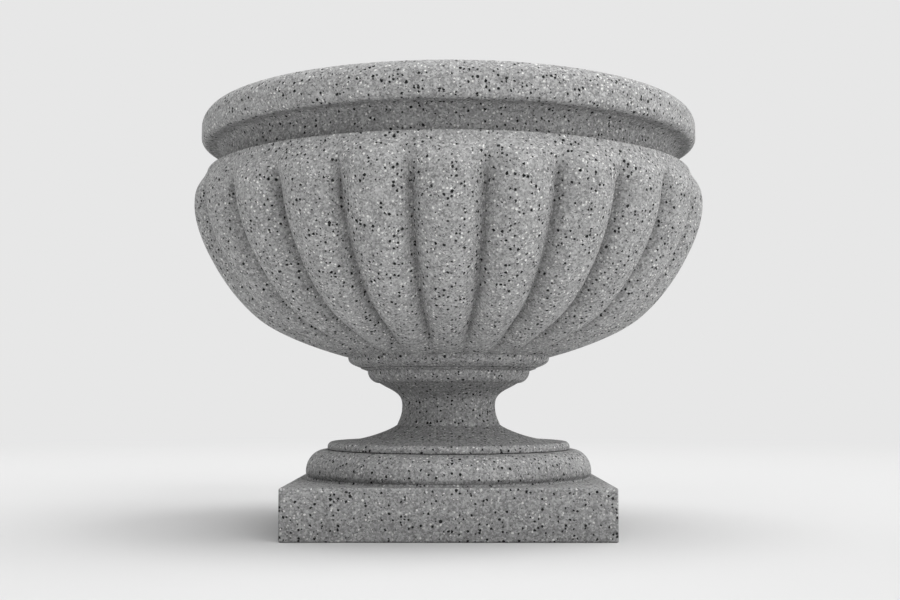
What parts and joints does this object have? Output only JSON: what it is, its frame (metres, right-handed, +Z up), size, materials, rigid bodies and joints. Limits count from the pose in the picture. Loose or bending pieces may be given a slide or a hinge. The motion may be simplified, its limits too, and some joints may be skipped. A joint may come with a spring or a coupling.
{
  "type": "urn planter",
  "caption": "Footed urn planter in granite-look cast stone: gadrooned bowl under a plain rim, waisted stem on a round cushion and square plinth, drained through a central tie tube.",
  "frame": {"origin": "centre of the plinth's underside, on the surface that the urn stands on", "axes": "+Z up along the urn's axis, -Y towards the front, with the plinth's sides square to X and Y"},
  "size_m": [0.6604, 0.6604, 0.5338],
  "materials": {
    "cast_stone": "matt granite-look cast stone with dark and white grains",
    "stainless_steel": "satin stainless steel",
    "bedding_rubber": "matt black rubber"
  },
  "bodies": {
    "urn": {"plinth": "cast_stone", "socle_bed_ring": "bedding_rubber", "socle": "cast_stone", "bowl_bed_ring": "bedding_rubber", "bowl": "cast_stone", "socle_dowel_1": "stainless_steel", "socle_dowel_2": "stainless_steel", "bowl_dowel_1": "stainless_steel", "bowl_dowel_2": "stainless_steel", "drain_tube": "stainless_steel", "flange_gasket": "bedding_rubber", "drain_flange": "stainless_steel", "clamp_gasket": "bedding_rubber", "clamp_washer": "stainless_steel", "clamp_nut": "stainless_steel", "lock_nut": "stainless_steel"},
    "grate": {"drain_grate": "stainless_steel", "grate_knob": "stainless_steel", "knob_nut": "stainless_steel"}
  },
  "joints": [
    {"name": "grate_lift", "type": "slide", "parent": "urn", "child": "grate", "axis": [0, 0, 1], "range_m": [0, 0.3]}
  ]
}
